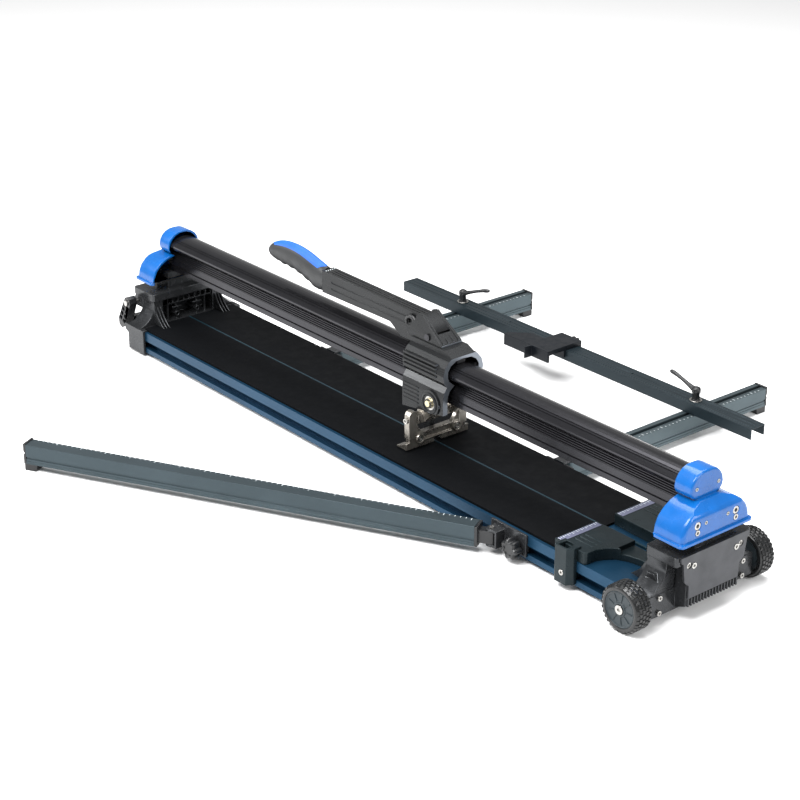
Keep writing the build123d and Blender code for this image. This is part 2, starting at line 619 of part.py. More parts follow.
# ---- lever -------------------------------------------------------------------------------------
def make_lever_arm():
    """Bar with side grooves, an upturned rear stub for the grip and a rounded pivot nose."""
    side_view = outline((-219, 257.5), (-18, 260), (14, 241), (54, 241), (58, 259.3), (100, 259.3), (100, 276),
                        (74, 298), (-205, 301), (-219, 301))
    stub = outline((-217, 264), (-217, 294), (-300, 306), (-345, 306), (-372, 299), (-372, 287), (-300, 282))
    body = along_y(side_view, -LEVER_HALF, LEVER_HALF)
    body += rod_y(-LEVER_HALF, LEVER_HALF, LEVER_PIVOT_X, LEVER_PIVOT_Z, 8.7)
    body += along_y(stub, -8, 8)
    nose = outline((LEVER_PIVOT_X, LEVER_PIVOT_Z), (114, 277.8), (111, 281.2), (84, 300.7), (74, 303), (74, 290))
    body += along_y(nose, -LEVER_HALF, LEVER_HALF)
    for z in (272, 285):
        for side in (-1, 1):
            y0, y1 = sorted((side * (LEVER_HALF - 1.2), side * (LEVER_HALF + 1)))
            body -= block(-190, 45, y0, y1, z - 1.5, z + 1.5)
    for y in (-7, 0, 7):
        body -= block(-200, 66, y - 1, y + 1, 296.0, 305)
    body -= rod_y(-30, 30, LEVER_PIVOT_X, LEVER_PIVOT_Z, 4.0 + FIT)
    return body


# Grip sections from the lever to the end: x, height of the top, height of the bottom, half width.
GRIP = [(-219, 304, 257.5, 14.7), (-245, 310.5, 252, 15), (-275, 318, 260.5, 15.5), (-305, 322.5, 268.5, 15.5),
        (-335, 322.5, 272.5, 15.5), (-362, 318.5, 273.5, 15), (-386, 309.5, 277.5, 13), (-400, 298.5, 284.5, 8)]
INSERT_HALF, INSERT_DEPTH = 10.5, 5.0


def grip_solid():
    sections = []
    for x, top, bottom, half in GRIP:
        oval = Ellipse(half, (top - bottom) / 2)
        sections.append(Plane.YZ.offset(x) * Pos(0, (top + bottom) / 2) * oval)
    return loft(sections)


def insert_space():
    """Room for the soft insert, a band along the top of the grip."""
    low = [(x, top - INSERT_DEPTH) for x, top, bottom, half in GRIP[:7]]
    high = [(x, top + 9) for x, top, bottom, half in reversed(GRIP[:7])]
    return along_y(outline(*low, *high), -INSERT_HALF, INSERT_HALF)


def make_grip():
    return grip_solid() - insert_space() - make_lever_arm()


def make_grip_insert():
    return grip_solid() & insert_space()


# ---- breaker foot and scoring wheel ------------------------------------------------------------
def make_foot_yoke():
    """Two arms on the side pivots, joined by a beam under the rail that carries foot and wheel."""
    plate = outline((PIVOT_X - 13, PIVOT_Z + 6), (PIVOT_X + 13, PIVOT_Z), (PIVOT_X + 6, PIVOT_Z - 13), (106, 108),
                    (86, 108), (86, 126))
    arm = along_y(plate, 27.3, 35.8) + rod_y(27.3, 35.8, PIVOT_X, PIVOT_Z, 14)
    arm -= rod_y(20, 40, PIVOT_X, PIVOT_Z, 5 + FIT)
    beam = block(86, 106, -49.4, 49.4, 108, 124)
    return arm + rear_copy(arm) + beam


def make_breaker_foot():
    """Casting across the base: bar with a notch over the ridge, two posts and flared toes."""
    bar = block(91, 103, -66, 66, 68, 88)
    bar -= block(98, 104, -34, 34, 72, 84)
    sole = outline((103, 61), (103, 70), (91, 70), (86, 66), (82, 61))
    sole = along_y(sole, -68, 68)
    post = outline((50, 80), (50, 128), (53, 133), (58, 135), (64, 133), (68, 127), (68.9, 112), (68, 80))
    post = fillet(along_x(post, 90, 104).edges().filter_by(Axis.X), 1.5)
    toe = outline((103, 61), (103, 74), (96, 72), (88, 68), (82, 66), (76, 64.5), (74, 61))
    toe = along_y(toe, 56, 74)
    toe = fillet(toe.edges().filter_by(Axis.Z), 2)
    gusset = along_x(outline((30, 86), (51, 86), (51, 110), (44, 98), (38, 91)), 93, 101)
    boss = rod_x(88, 106, 44, 78, 8.5)
    body = fuse([bar, sole, post, rear_copy(post), toe, rear_copy(toe), gusset, rear_copy(gusset), boss,
                 rear_copy(boss)])
    body -= block(70, 110, -9, 9, 60, 71)
    body -= rod_y(-80, 80, 97, 117, 3.0 + FIT)
    for side in (-1, 1):
        body -= rod_x(104.2, 110, side * 44, 78, 5.6)
    return body


def make_foot_screws():
    """Screws that hold the foot on the yoke's beam, and the two soft-jaw screws in the bar."""
    side_screw = Rot(0, 0, 90) * socket_screw(5, 4, 3, 18.7)
    screws = [Pos(97, 73, 117) * side_screw]
    screws = [screws[0], rear_copy(screws[0])]
    bar_screw = socket_screw(5.3, 3, 2.6, 0.2)
    for side in (-1, 1):
        screws.append(Pos(107.4, side * 44, 78) * bar_screw)
    return Compound(screws)


def make_wheel_holder():
    """Shank and fork that carry the scoring wheel under the yoke's beam."""
    shank = block(68, 85.9, -6, 6, 80, 128)
    fork = block(67, 86, -6, 6, 66.5, 84)
    fork -= block(60, 90, -1.4, 1.4, 60, 86)
    nut = block(76, 86, -10, 10, 114, 127)
    body = shank + fork + nut
    body -= rod_y(-10, 10, SCORING_X, SCORING_Z, 2.0)
    body -= rod_y(-1.4, 1.4, SCORING_X, SCORING_Z, SCORING_RADIUS + 0.6)
    return body


def make_scoring_wheel():
    wheel = rod_y(-1.0, 1.0, SCORING_X, SCORING_Z, SCORING_RADIUS - 1)
    section = outline((0, -1.0), (SCORING_RADIUS - 1, -1.0), (SCORING_RADIUS, 0), (SCORING_RADIUS - 1, 1.0), (0, 1.0))
    wheel = revolve(Plane.XZ * section, axis=Axis.Z)
    wheel = Pos(SCORING_X, 0, SCORING_Z) * Rot(90, 0, 0) * wheel
    return wheel - rod_y(-5, 5, SCORING_X, SCORING_Z, 2.0 + FIT)


def make_scoring_axle():
    return rod_y(-7, 7, SCORING_X, SCORING_Z, 2.0)


# ---- extension arms ----------------------------------------------------------------------------
def arm_bar(length, with_top_slot):
    """Arm profile along +X from x = 0, centred on y = 0."""
    half = ARM_WIDTH / 2
    body = block(0, length, -half, half, ARM_BOTTOM, ARM_TOP)
    for side in (-1, 1):
        y0, y1 = sorted((side * (half - 2), side * (half + 1)))
        body -= block(-1, length + 1, y0, y1, 24.5, 28.5)
        body -= block(-1, length + 1, y0 + side * 1.2, y1 + side * 1.2, 20, 24.5)
    body -= block(-1, length + 1, -half + 4.5, half - 4.5, ARM_BOTTOM + 2.5, 38)
    body -= block(-1, length + 1, -half - 1, -half + 9, ARM_TOP - 0.8, ARM_TOP + 1)
    if with_top_slot:
        body -= block(-1, length + 1, -ARM_SLOT_HALF, ARM_SLOT_HALF, 46, ARM_TOP + 1)
        body -= block(-1, length + 1, -ARM_SLOT_HALF - ARM_SLOT_UNDERCUT, ARM_SLOT_HALF + ARM_SLOT_UNDERCUT,
                      ARM_TOP - ARM_SLOT_DEPTH, ARM_TOP - 3.5)
    return body


def arm_cap():
    """End cap with a foot, for the end of an arm bar at x = 0."""
    half = ARM_WIDTH / 2
    cap = block(0.02, 5, -half, half, ARM_BOTTOM, ARM_TOP + 1.5)
    cap -= block(3, 6, -half - 1, half + 1, 33, 37)
    foot = outline((-22, ARM_BOTTOM - 0.02), (5, ARM_BOTTOM - 0.02), (5, 0), (-18, 0))
    foot = along_y(foot, -half + 2, half - 2)
    return cap + foot + block(0.02, 5, -half + 2, half - 2, 10, 20)


def along_rear(shape, x):
    """Turn a piece drawn along +X into one that runs along +Y from the rear pivot line."""
    return Pos(x, REAR_PIVOT_Y, 0) * Rot(0, 0, 90) * shape


def make_rear_arm(x):
    length = REAR_ARM_END - REAR_PIVOT_Y
    bar = Pos(-12, 0, 0) * arm_bar(length + 12, True)
    nose = block(-20, 14, -20, 20, ARM_BOTTOM - 1, ARM_TOP + 1) - rod_z(0, 60, 0, 0, 15)
    bar -= nose - block(0, 20, -20, 20, 0, 60)
    bar -= rod_z(0, 60, 0, 0, 4 + FIT)
    return along_rear(bar, x)


def make_rear_arm_cap(x):
    length = REAR_ARM_END - REAR_PIVOT_Y
    return along_rear(Pos(length, 0, 0) * arm_cap(), x)


def make_rear_brackets():
    """Fork brackets on the rear side of the base, one ear above and one below each arm."""
    brackets = []
    for x in (NEAR_ARM_X, FAR_ARM_X):
        wall = BASE_HALF_WIDTH + 0.02
        plate = block(x - 34, x + 34, wall, wall + 5, 9.5, 53)
        ears = []
        for z0, z1 in ((ARM_TOP + GAP, ARM_TOP + 4.3), (ARM_BOTTOM - 4.3, ARM_BOTTOM - GAP)):
            ears.append(block(x - 13, x + 13, wall, REAR_PIVOT_Y, z0, z1) + rod_z(z0, z1, x, REAR_PIVOT_Y, 13))
        tongue = block(x - 26, x + 26, wall - 10, wall + 1, SLOT_BOTTOM + 0.5, SLOT_TOP - 0.5)
        body = fuse([plate, *ears, tongue]) + block(x - 13, x + 13, wall, wall + 5, 9.5, ARM_TOP + 4.3)
        brackets.append(body - rod_z(0, 70, x, REAR_PIVOT_Y, 4.0))
    return Compound(brackets)


def make_rear_pins():
    pins = []
    for x in (NEAR_ARM_X, FAR_ARM_X):
        pin = rod_z(8, 58, x, REAR_PIVOT_Y, 4.0)
        pins.append(pin + rod_z(ARM_TOP + 4.3, 59.5, x, REAR_PIVOT_Y, 7))
    return Compound(pins)


def at_front(shape):
    """Place a piece drawn along +X from the pivot at the front arm's swing."""
    return Pos(FRONT_PIVOT_X, FRONT_PIVOT_Y, 0) * Rot(0, 0, 180 + FRONT_ARM_ANGLE) * shape


def make_front_arm():
    return at_front(Pos(26, 0, 0) * arm_bar(FRONT_ARM_LENGTH - 26, False))


def make_front_arm_cap():
    return at_front(Pos(FRONT_ARM_LENGTH, 0, 0) * arm_cap())


def make_front_hinge():
    """Knuckle plugged in the front arm: it turns on the bracket's pin."""
    plug = block(25.9, 60, -10.3, 10.3, ARM_BOTTOM + 2.6, 37.9)
    flange = block(21, 25.98, -15, 15, ARM_BOTTOM, ARM_TOP - 1)
    tongue = block(0, 22, -9, 9, 20.3, 43.7) + rod_z(20.3, 43.7, 0, 0, 9)
    return at_front(plug + flange + tongue - rod_z(0, 60, 0, 0, 4 + FIT))


def make_arm_bracket():
    """Bracket that slides along the front slot: pivot fork at one end, knob seat at the other."""
    wall = -BASE_HALF_WIDTH - GAP
    plate = block(384, 470, wall - 4.5, wall, 14, 55)
    fork = []
    for z0, z1 in ((44, 48), (16, 20)):
        fork.append(block(FRONT_PIVOT_X - 10, FRONT_PIVOT_X + 10, FRONT_PIVOT_Y, wall, z0, z1))
        fork.append(rod_z(z0, z1, FRONT_PIVOT_X, FRONT_PIVOT_Y, 10))
    web = block(FRONT_PIVOT_X + 13, FRONT_PIVOT_X + 17, FRONT_PIVOT_Y - 6, wall, 16, 48)
    ledge = block(FRONT_PIVOT_X - 10, FRONT_PIVOT_X + 17, wall - 8, wall, 16, 48)
    tongue = block(388, 466, wall - 1, wall + 9, SLOT_BOTTOM + GAP, SLOT_TOP - GAP)
    top_bar = block(FRONT_PIVOT_X, FRONT_PIVOT_X + 17, FRONT_PIVOT_Y - 6, wall, 44, 48)
    low_bar = block(FRONT_PIVOT_X, FRONT_PIVOT_X + 17, FRONT_PIVOT_Y - 6, wall, 16, 20)
    body = fuse([plate, *fork, web, ledge, tongue, top_bar, low_bar])
    body -= rod_z(20, 44, FRONT_PIVOT_X, FRONT_PIVOT_Y, 11.5)
    body -= rod_z(0, 60, FRONT_PIVOT_X, FRONT_PIVOT_Y, 4.0)
    body -= rod_y(-140, -100, KNOB_X, KNOB_Z, 4.3)
    return body


def make_front_pin():
    return rod_z(13, 50.5, FRONT_PIVOT_X, FRONT_PIVOT_Y, 4.0)


def make_bracket_nut():
    """T-nut in the front slot, behind the bracket's tongue."""
    nut = block(KNOB_X - 10, KNOB_X + 10, -108, -104, SLOT_BOTTOM - 2, SLOT_TOP + 2)
    return nut - rod_y(-120, -100, KNOB_X, KNOB_Z, 4.0 + FIT)


def make_bracket_knob():
    knob = star_knob(20, 19, 7)
    stud = rod_z(-20.5, 0.5, 0, 0, 4.0) + rod_z(-2, 0.5, 0, 0, 9)
    turned = Rot(90, 0, 0) * (knob + stud)
    return Pos(KNOB_X, -BASE_HALF_WIDTH - GAP - 4.5 - 2.3, KNOB_Z) * turned


# ---- fence -------------------------------------------------------------------------------------
def make_fence_bar():
    outer = block(FENCE_X0, FENCE_X1, FENCE_Y - FENCE_HALF, FENCE_Y + FENCE_HALF, FENCE_BOTTOM, FENCE_TOP)
    outer -= block(FENCE_X0 - 1, FENCE_X1 + 1, FENCE_Y - FENCE_HALF + FENCE_WALL, FENCE_Y + FENCE_HALF - FENCE_WALL,
                   FENCE_BOTTOM - 1, FENCE_TOP - FENCE_WALL)
    for y in (-12, 0, 12):
        outer -= block(FENCE_X0 - 1, FENCE_X1 + 1, FENCE_Y + y - 0.6, FENCE_Y + y + 0.6, FENCE_TOP - 0.5, FENCE_TOP + 1)
    outer -= rod_z(60, 80, NEAR_ARM_X, FENCE_Y, 4.0 + FIT)
    outer -= rod_z(60, 80, FAR_ARM_X, FENCE_Y, 4.0)
    for x in (132, -219):
        outer -= rod_z(60, 80, x, FENCE_Y, 2.6)
    return outer


def fence_nut(x):
    """Round nut in the arm's top slot with the stud and washer of a clamp lever."""
    seat = ARM_TOP - ARM_SLOT_DEPTH + 0.4
    nut = rod_z(seat, ARM_TOP - 3.8, x, FENCE_Y, 7.8)
    return nut + rod_z(seat, 96, x, FENCE_Y, 4.0)


def make_clamp_lever(x, angle):
    """Ratchet clamp lever: hub on the stud, flange washer and a rising arm along local +X."""
    hub = Cylinder(9, 3, align=(Align.CENTER, Align.CENTER, Align.MIN))
    hub += Pos(0, 0, 3) * Cylinder(7, 20, align=(Align.CENTER, Align.CENTER, Align.MIN))
    hub += Pos(0, 0, 20) * Cone(8, 6.5, 6, align=(Align.CENTER, Align.CENTER, Align.MIN))
    side_view = outline((-4, 17), (6, 15), (20, 22), (62, 33), (67, 34.5), (67, 39), (62, 41.5), (48, 39), (18, 31),
                        (2, 26.5))
    arm = along_y(side_view, -4.6, 4.6)
    body = hub + arm
    body -= rod_z(-1, 22.5, 0, 0, 4.0 + FIT)
    return Pos(x, FENCE_Y, FENCE_TOP + GAP) * Rot(0, 0, angle) * body


def make_lateral_stop():
    """Saddle over the fence with an angled stop plate that reaches towards the base."""
    low, high = 59.5, 84.0
    y0, y1 = FENCE_Y - FENCE_HALF, FENCE_Y + FENCE_HALF
    saddle = block(STOP_X0, STOP_X1, y0 - 6, y1 + 6, low, high)
    saddle -= block(STOP_X0 - 1, STOP_X1 + 1, y0 - GAP, y1 + GAP, 0, FENCE_TOP + GAP)
    arm = block(STOP_X0, STOP_X1, y0 - 46, y0 - 5, FENCE_TOP, high)
    front = block(-163, STOP_X1, y0 - 50, y0 - 45, low, high)
    wing = along_z(outline((-163, y0 - 50), (-163, y0 - 40), (-128, y0 - 5), (STOP_X0, y0 - 5), (STOP_X0, y0 - 50)),
                   high - 5, high)
    cross = block(STOP_X0 + 8, STOP_X0 + 11, y0 - 68, y0 - 49, low, high)
    body = fuse([saddle, arm, front, wing, cross])
    body -= rod_y(y1, y1 + 20, -63, 67, 3.0 + FIT)
    return body


def make_stop_knob():
    knob = star_knob(15, 14, 6)
    stud = rod_z(-7.2, 0.5, 0, 0, 3.0) + rod_z(-1.5, 0.5, 0, 0, 7)
    turned = Rot(-90, 0, 0) * (knob + stud)
    return Pos(-63, FENCE_Y + FENCE_HALF + 6 + 1.8, 67) * turned


# ---- pull handle -------------------------------------------------------------------------------
def make_pull_handle():
    """Fold-out pull handle: two lattice arms joined by a cross grip."""
    dx, dz = -24.0, -48.6
    length = math.hypot(dx, dz)
    ux, uz = dx / length, dz / length
    half = 14.0

    def local(along, across):
        return (HANDLE_PIVOT_X + ux * along - uz * across, HANDLE_PIVOT_Z + uz * along + ux * across)

    paddle = outline(local(-6, half * 0.8), local(-13, 4), local(-13, -4), local(-6, -half * 0.8),
                     local(length, -half), local(length + 12, -6), local(length + 12, 6), local(length, half))
    arm = along_y(paddle, -112, -94)
    for row in range(4):
        for column in (-1, 1):
            a0, a1 = 6 + row * 12, 15 + row * 12
            c0, c1 = sorted((column * 1.5, column * 11))
            window = outline(local(a0, c0), local(a0, c1), local(a1, c1), local(a1, c0))
            arm -= along_y(window, -113, -99)
    grip = rod_y(-95, 95, HANDLE_PIVOT_X + dx, HANDLE_PIVOT_Z + dz, 10)
    body = fuse([arm, rear_copy(arm), grip])
    return body - rod_y(-120, 120, HANDLE_PIVOT_X, HANDLE_PIVOT_Z, 3 + FIT)


def make_handle_pins():
    pins = []
    for side in (-1, 1):
        y0, y1 = sorted((side * 74.5, side * 112.5))
        h0, h1 = sorted((side * 112.5, side * 115.5))
        pins.append(rod_y(y0, y1, HANDLE_PIVOT_X, HANDLE_PIVOT_Z, 3) + rod_y(h0, h1, HANDLE_PIVOT_X, HANDLE_PIVOT_Z, 6))
    return Compound(pins)


# ---- the assembly ------------------------------------------------------------------------------
parts["base_profile"] = make_base_profile()
parts["front_pad"] = make_pad(-1)
parts["rear_pad"] = make_pad(1)
parts["breaking_ridge"] = make_ridge()
parts["base_feet"] = make_base_feet()
parts["rail"] = make_rail()
parts["near_support"] = make_near_support()
parts["far_support"] = make_far_support()
parts["near_face_plate"] = make_face_plate()
parts["near_rail_cap"] = make_near_cap()
parts["far_rail_cap"] = far_copy(make_near_cap())
parts["socket_screws"] = make_socket_screws()
parts["rail_bolts"] = make_rail_bolts()
parts["axle_bolts"] = make_axle_bolts()
parts["front_gauge_plate"] = make_gauge_plate()
parts["rear_gauge_plate"] = rear_copy(make_gauge_plate())
parts["stop_block"] = make_stop_block()
parts["stop_block_screw"] = make_stop_screw()
parts["rear_arm_brackets"] = make_rear_brackets()
parts["rear_arm_pins"] = make_rear_pins()
parts["handle_pins"] = make_handle_pins()
for name, side in (("left", -1), ("right", 1)):
    parts[name + "_hub"] = make_hub(side)
    parts[name + "_tyre"] = make_tyre(side)
parts["carriage_profile"] = make_carriage()
parts["handle_bracket"] = make_handle_bracket()
parts["guide_pads"] = make_guide_pads()
parts["pivot_bearings"] = make_pivot_bearings()
parts["pivot_bolts"] = make_pivot_bolts()
parts["lever_axle"] = make_lever_axle()
parts["latch_hooks"] = make_latch_hooks()
parts["lever_arm"] = make_lever_arm()
parts["hand_grip"] = make_grip()
parts["grip_insert"] = make_grip_insert()
parts["foot_yoke"] = make_foot_yoke()
parts["breaker_foot"] = make_breaker_foot()
parts["foot_screws"] = make_foot_screws()
parts["wheel_holder"] = make_wheel_holder()
parts["scoring_axle"] = make_scoring_axle()
parts["scoring_wheel"] = make_scoring_wheel()
parts["arm_bracket"] = make_arm_bracket()
parts["bracket_nut"] = make_bracket_nut()
parts["front_arm_pin"] = make_front_pin()
parts["bracket_knob"] = make_bracket_knob()
parts["front_arm"] = make_front_arm()
parts["front_arm_hinge"] = make_front_hinge()
parts["front_arm_cap"] = make_front_arm_cap()
for name, x in (("near", NEAR_ARM_X), ("far", FAR_ARM_X)):
    parts[name + "_rear_arm"] = make_rear_arm(x)
    parts[name + "_rear_arm_cap"] = make_rear_arm_cap(x)
    parts[name + "_fence_nut"] = fence_nut(x)
parts["near_clamp_lever"] = make_clamp_lever(NEAR_ARM_X, 180)
parts["far_clamp_lever"] = make_clamp_lever(FAR_ARM_X, 14)
parts["fence_bar"] = make_fence_bar()
parts["lateral_stop"] = make_lateral_stop()
parts["stop_knob"] = make_stop_knob()
parts["pull_handle"] = make_pull_handle()

os.makedirs("parts", exist_ok=True)
for name, shape in parts.items():
    export_step(shape, "parts/" + name + ".step")
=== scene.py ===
import json
import math

import bmesh
import bpy
from mathutils import Matrix, Vector


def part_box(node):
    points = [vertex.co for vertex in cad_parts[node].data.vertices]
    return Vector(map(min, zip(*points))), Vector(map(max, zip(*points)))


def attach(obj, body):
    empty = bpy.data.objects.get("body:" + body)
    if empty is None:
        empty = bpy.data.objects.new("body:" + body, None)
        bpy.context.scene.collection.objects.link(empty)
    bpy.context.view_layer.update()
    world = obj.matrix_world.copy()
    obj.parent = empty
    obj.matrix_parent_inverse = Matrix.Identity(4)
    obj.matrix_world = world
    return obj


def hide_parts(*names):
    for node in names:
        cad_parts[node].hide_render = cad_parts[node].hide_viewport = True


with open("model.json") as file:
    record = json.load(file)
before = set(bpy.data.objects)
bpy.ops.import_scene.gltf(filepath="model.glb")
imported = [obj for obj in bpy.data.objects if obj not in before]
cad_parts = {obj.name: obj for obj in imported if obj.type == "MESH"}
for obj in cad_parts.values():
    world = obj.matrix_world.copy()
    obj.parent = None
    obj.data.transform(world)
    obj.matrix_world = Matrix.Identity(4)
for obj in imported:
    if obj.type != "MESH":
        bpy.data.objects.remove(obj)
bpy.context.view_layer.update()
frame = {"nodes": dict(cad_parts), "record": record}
NODES = frame["nodes"]
BODY_OF = {node: body for body, members in frame["record"]["behaviour"]["bodies"].items() for node in members}
MM = 0.001


# ---- shader helpers ----------------------------------------------------------------------------
NOISE_LOW, NOISE_HIGH = 0.35, 0.65             # part of a noise's range that carries the detail
MIX_FACTOR, MIX_FIRST, MIX_SECOND, MIX_RESULT = 0, 6, 7, 2      # colour sockets of the mix node
DULL_SPECULAR = 0.2                            # keeps dark finishes dark in a white studio


class Shader:
    """A principled material with small helpers for its procedural detail."""

    def __init__(self, name, color, roughness, metallic=0.0, **sockets):
        self.material = bpy.data.materials.new(name)
        self.material.use_nodes = True
        self.tree = self.material.node_tree
        self.bsdf = self.tree.nodes["Principled BSDF"]
        self.set("Base Color", (*color, 1.0))
        self.set("Roughness", roughness)
        self.set("Metallic", metallic)
        self.set("Specular IOR Level", DULL_SPECULAR)
        for socket, value in sockets.items():
            self.set(socket.replace("_", " "), value)

    def set(self, socket, value):
        self.bsdf.inputs[socket].default_value = value

    def node(self, kind, **values):
        made = self.tree.nodes.new(kind)
        for key, value in values.items():
            setattr(made, key, value)
        return made

    def link(self, source, target):
        self.tree.links.new(source, target)

    def noise(self, scale, detail=3.0, stretch=(1, 1, 1)):
        """Noise in object space, in metres, stretched along the axes."""
        place = self.node("ShaderNodeTexCoord")
        mapping = self.node("ShaderNodeMapping")
        mapping.inputs["Scale"].default_value = stretch
        self.link(place.outputs["Object"], mapping.inputs["Vector"])
        made = self.node("ShaderNodeTexNoise")
        made.inputs["Scale"].default_value = scale
        made.inputs["Detail"].default_value = detail
        self.link(mapping.outputs["Vector"], made.inputs["Vector"])
        return made.outputs["Fac"]

    def ramp(self, source, low, high):
        """Map the middle of a noise's range to a number between low and high."""
        made = self.node("ShaderNodeMapRange")
        made.inputs["From Min"].default_value = NOISE_LOW
        made.inputs["From Max"].default_value = NOISE_HIGH
        made.inputs["To Min"].default_value = low
        made.inputs["To Max"].default_value = high
        self.link(source, made.inputs["Value"])
        return made.outputs["Result"]

    def vary_color(self, source, other, amount):
        """Blend the base colour towards another colour where the factor is high."""
        mix = self.node("ShaderNodeMix", data_type="RGBA")
        base = self.bsdf.inputs["Base Color"]
        mix.inputs[MIX_FIRST].default_value = base.default_value
        mix.inputs[MIX_SECOND].default_value = (*other, 1.0)
        self.link(self.ramp(source, 0.0, amount), mix.inputs[MIX_FACTOR])
        self.link(mix.outputs[MIX_RESULT], base)

    def vary_roughness(self, source, low, high):
        self.link(self.ramp(source, low, high), self.bsdf.inputs["Roughness"])

    def bump(self, source, strength, distance):
        made = self.node("ShaderNodeBump")
        made.inputs["Strength"].default_value = strength
        made.inputs["Distance"].default_value = distance
        self.link(source, made.inputs["Height"])
        self.link(made.outputs["Normal"], self.bsdf.inputs["Normal"])


def extrusion(name, color, roughness, metallic=0.85, along=(1, 1, 1), **sockets):
    """Anodised extrusion: fine die lines along the profile and a satin finish."""
    shader = Shader(name, color, roughness, metallic, **sockets)
    lines = shader.noise(900.0, 4.0, along)
    cloudy = shader.noise(9.0, 3.0)
    shader.vary_color(cloudy, tuple(c * 0.82 for c in color), 0.8)
    shader.vary_roughness(lines, roughness - 0.03, roughness + 0.04)
    shader.bump(lines, 0.04, 0.0002)
    return shader


def casting(name, color, roughness, metallic=0.3, grain=650.0, **sockets):
    """Painted or raw die casting: pebbled skin and slightly uneven tone."""
    shader = Shader(name, color, roughness, metallic, **sockets)
    shader.vary_color(shader.noise(22.0, 4.0), tuple(c * 0.78 for c in color), 0.9)
    shader.vary_roughness(shader.noise(60.0), roughness - 0.08, roughness + 0.1)
    shader.bump(shader.noise(grain, 5.0), 0.25, 0.0003)
    return shader


def moulded(name, color, roughness, grain=1400.0, strength=0.15, **sockets):
    """Moulded plastic or rubber with a fine spark-eroded grain."""
    shader = Shader(name, color, roughness, **sockets)
    shader.vary_color(shader.noise(30.0, 3.0), tuple(min(1.0, c * 1.25) for c in color), 0.6)
    shader.vary_roughness(shader.noise(45.0), roughness - 0.05, roughness + 0.07)
    shader.bump(shader.noise(grain, 4.0), strength, 0.0002)
    return shader


def steel(name, color, roughness):
    """Plated steel with faint turning marks."""
    shader = Shader(name, color, roughness, 1.0)
    shader.vary_color(shader.noise(120.0), tuple(c * 0.7 for c in color), 0.8)
    shader.vary_roughness(shader.noise(400.0), roughness - 0.08, roughness + 0.12)
    shader.bump(shader.noise(1500.0), 0.1, 0.0001)
    return shader


ALONG_X, ALONG_Y = (0.02, 1, 1), (1, 0.02, 1)
BLUE = extrusion("blue_anodised", (0.009, 0.042, 0.084), 0.36, 0.6, ALONG_X)
CHARCOAL = extrusion("dark_anodised", (0.019, 0.020, 0.021), 0.28, 0.55, ALONG_X)
CUT_END = extrusion("cut_end", (0.20, 0.22, 0.25), 0.36, 0.8, ALONG_Y)
RAIL = extrusion("rail_anodised", (0.034, 0.034, 0.038), 0.22, 0.85, ALONG_X)
ARM_X = extrusion("arm_anodised_x", (0.040, 0.055, 0.063), 0.36, 0.6, ALONG_X)
ARM_Y = extrusion("arm_anodised_y", (0.070, 0.092, 0.102), 0.36, 0.7, ALONG_Y)
FENCE = extrusion("fence_anodised", (0.014, 0.022, 0.027), 0.40, 0.5, ALONG_X)
PAD = moulded("pad_rubber", (0.0014, 0.0017, 0.0022), 0.7, 2600.0, 0.2, Specular_IOR_Level=0.06)
DARK_CAST = casting("dark_casting", (0.040, 0.042, 0.045), 0.22, 0.6)
GAUGE_CAST = casting("gauge_casting", (0.011, 0.018, 0.021), 0.34, 0.4)
RAW_CAST = casting("raw_casting", (0.30, 0.28, 0.25), 0.30, 0.9)
GREY_PLATE = casting("grey_plate", (0.055, 0.057, 0.062), 0.36, 0.6, 900.0)
STOP_CAST = casting("stop_casting", (0.008, 0.010, 0.013), 0.36, 0.4)
BLUE_GLOSS = moulded("blue_gloss", (0.002, 0.074, 0.27), 0.24, 60.0, 0.03,
                     Coat_Weight=0.35, Coat_Roughness=0.08)
STEEL = steel("plated_steel", (0.44, 0.43, 0.41), 0.28)
RIDGE = extrusion("ridge_anodised", (0.008, 0.024, 0.034), 0.4, 0.4, ALONG_X)
BRASSY = steel("yellow_zinc", (0.62, 0.55, 0.36), 0.28)
BLACK_SCREW = steel("black_screw", (0.05, 0.05, 0.055), 0.35)
CARBIDE = steel("carbide", (0.55, 0.45, 0.2), 0.25)
TYRE = moulded("tyre_rubber", (0.006, 0.0065, 0.007), 0.30, 900.0, 0.2, Specular_IOR_Level=0.4)
HUB = moulded("hub_plastic", (0.022, 0.029, 0.033), 0.38, 1200.0, 0.15)
BLACK_PLASTIC = moulded("black_plastic", (0.006, 0.0065, 0.0075), 0.32, Specular_IOR_Level=0.4)
GRIP = moulded("grip_plastic", (0.014, 0.015, 0.016), 0.42, 1800.0, 0.25, Specular_IOR_Level=0.35)
BLUE_RUBBER = moulded("blue_rubber", (0.006, 0.075, 0.36), 0.45, 1500.0, 0.5, Specular_IOR_Level=0.35)
NYLON = moulded("nylon", (0.75, 0.74, 0.70), 0.45)
PRINT = moulded("scale_print", (0.55, 0.60, 0.62), 0.5, 2200.0, 0.05)
RULER = moulded("ruler_strip", (0.085, 0.090, 0.135), 0.4, 2200.0, 0.05)
SEAL = moulded("bearing_seal", (0.02, 0.02, 0.022), 0.35)

BY_SLOT = {
    "blue_anodised": BLUE, "dark_anodised": CHARCOAL, "rail_anodised": RAIL, "pad_rubber": PAD,
    "steel": STEEL, "dark_casting": DARK_CAST, "raw_casting": RAW_CAST, "grey_plate": GREY_PLATE,
    "blue_gloss": BLUE_GLOSS, "screw_steel": STEEL, "black_screw": BLACK_SCREW, "tyre_rubber": TYRE,
    "black_plastic": BLACK_PLASTIC, "nylon": NYLON, "blue_rubber": BLUE_RUBBER, "carbide": CARBIDE,
    "silver_anodised": ARM_Y, "fence_anodised": FENCE, "stop_casting": STOP_CAST,
}
SLOT_OF = {entry["node"]: entry["material_slot"] for entry in frame["record"]["subparts"]}


def paint(obj, shader):
    obj.data.materials.clear()
    obj.data.materials.append(shader.material)


